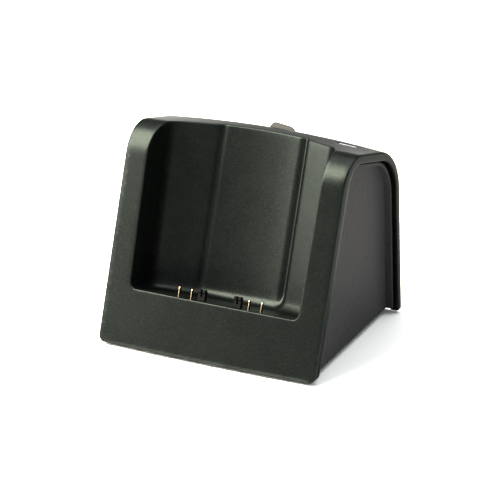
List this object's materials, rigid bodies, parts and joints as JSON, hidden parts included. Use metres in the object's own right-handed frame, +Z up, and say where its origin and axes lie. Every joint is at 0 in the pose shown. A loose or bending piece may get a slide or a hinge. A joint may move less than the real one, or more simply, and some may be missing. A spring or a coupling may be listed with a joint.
{
  "type": "desktop charging cradle",
  "caption": "Saddle-shaped desktop charging cradle with an open leaning device bay, sprung contacts, a rear spare-battery pocket and a sliding latch.",
  "frame": {"origin": "middle of the footprint on the surface that the rubber feet stand on", "axes": "+X to the right seen from the front, along the width; +Y to the rear, away from the open bay; +Z up"},
  "size_m": [0.08, 0.0704, 0.0692],
  "materials": {
    "metallic_paint": "satin metallic grey-green paint with a fine grain",
    "gloss_dark": "polished dark grey",
    "black_plastic": "fine matt",
    "rubber": "matt",
    "steel": "zinc plated",
    "circuit_board": "solder mask",
    "capacitor_can": "satin",
    "clear_plastic": "clear to milky",
    "flex_film": "amber film",
    "gold_plate": "gold plated"
  },
  "bodies": {
    "cradle": {"outer_shell": "metallic_paint", "side_panel_left": "gloss_dark", "side_panel_right": "gloss_dark", "base_plate": "black_plastic", "rubber_foot_1": "rubber", "rubber_foot_2": "rubber", "rubber_foot_3": "rubber", "rubber_foot_4": "rubber", "base_screw_1": "steel", "base_screw_2": "steel", "base_screw_3": "steel", "base_screw_4": "steel", "ballast_plate": "steel", "main_board": "circuit_board", "board_screw_1": "steel", "board_screw_2": "steel", "board_screw_3": "steel", "board_screw_4": "steel", "charge_chip": "black_plastic", "filter_capacitor_1": "capacitor_can", "filter_capacitor_2": "capacitor_can", "power_inductor": "black_plastic", "status_led": "clear_plastic", "light_pipe": "clear_plastic", "usb_socket": "steel", "dc_jack": "black_plastic", "contact_block": "black_plastic", "contact_flex": "flex_film", "battery_tray": "black_plastic", "battery_contact_block": "black_plastic", "latch_spring": "steel"},
    "device_contact_a": {"device_contact_1": "gold_plate"},
    "device_contact_b": {"device_contact_2": "gold_plate"},
    "device_contact_c": {"device_contact_3": "gold_plate"},
    "device_contact_d": {"device_contact_4": "gold_plate"},
    "battery_contact_a": {"battery_contact_1": "gold_plate"},
    "battery_contact_b": {"battery_contact_2": "gold_plate"},
    "battery_contact_c": {"battery_contact_3": "gold_plate"},
    "latch": {"battery_latch": "metallic_paint"}
  },
  "joints": [
    {"name": "device_contact_a_press", "type": "slide", "parent": "cradle", "child": "device_contact_a", "axis": [0, -0.3305, -0.9438], "range_m": [0, 0.0015], "stiffness_N_per_m": 150, "springref_m": -0.002},
    {"name": "device_contact_b_press", "type": "slide", "parent": "cradle", "child": "device_contact_b", "axis": [0, -0.3305, -0.9438], "range_m": [0, 0.0015], "stiffness_N_per_m": 150, "springref_m": -0.002},
    {"name": "device_contact_c_press", "type": "slide", "parent": "cradle", "child": "device_contact_c", "axis": [0, -0.3305, -0.9438], "range_m": [0, 0.0015], "stiffness_N_per_m": 150, "springref_m": -0.002},
    {"name": "device_contact_d_press", "type": "slide", "parent": "cradle", "child": "device_contact_d", "axis": [0, -0.3305, -0.9438], "range_m": [0, 0.0015], "stiffness_N_per_m": 150, "springref_m": -0.002},
    {"name": "battery_contact_a_press", "type": "slide", "parent": "cradle", "child": "battery_contact_a", "axis": [0, 0.0698, -0.9976], "range_m": [0, 0.0009], "stiffness_N_per_m": 150, "springref_m": -0.002},
    {"name": "battery_contact_b_press", "type": "slide", "parent": "cradle", "child": "battery_contact_b", "axis": [0, 0.0698, -0.9976], "range_m": [0, 0.0009], "stiffness_N_per_m": 150, "springref_m": -0.002},
    {"name": "battery_contact_c_press", "type": "slide", "parent": "cradle", "child": "battery_contact_c", "axis": [0, 0.0698, -0.9976], "range_m": [0, 0.0009], "stiffness_N_per_m": 150, "springref_m": -0.002},
    {"name": "latch_lift", "type": "slide", "parent": "cradle", "child": "latch", "axis": [0, 0, 1], "range_m": [0, 0.0022], "stiffness_N_per_m": 300, "springref_m": -0.002, "deforming": ["latch_spring"]}
  ]
}
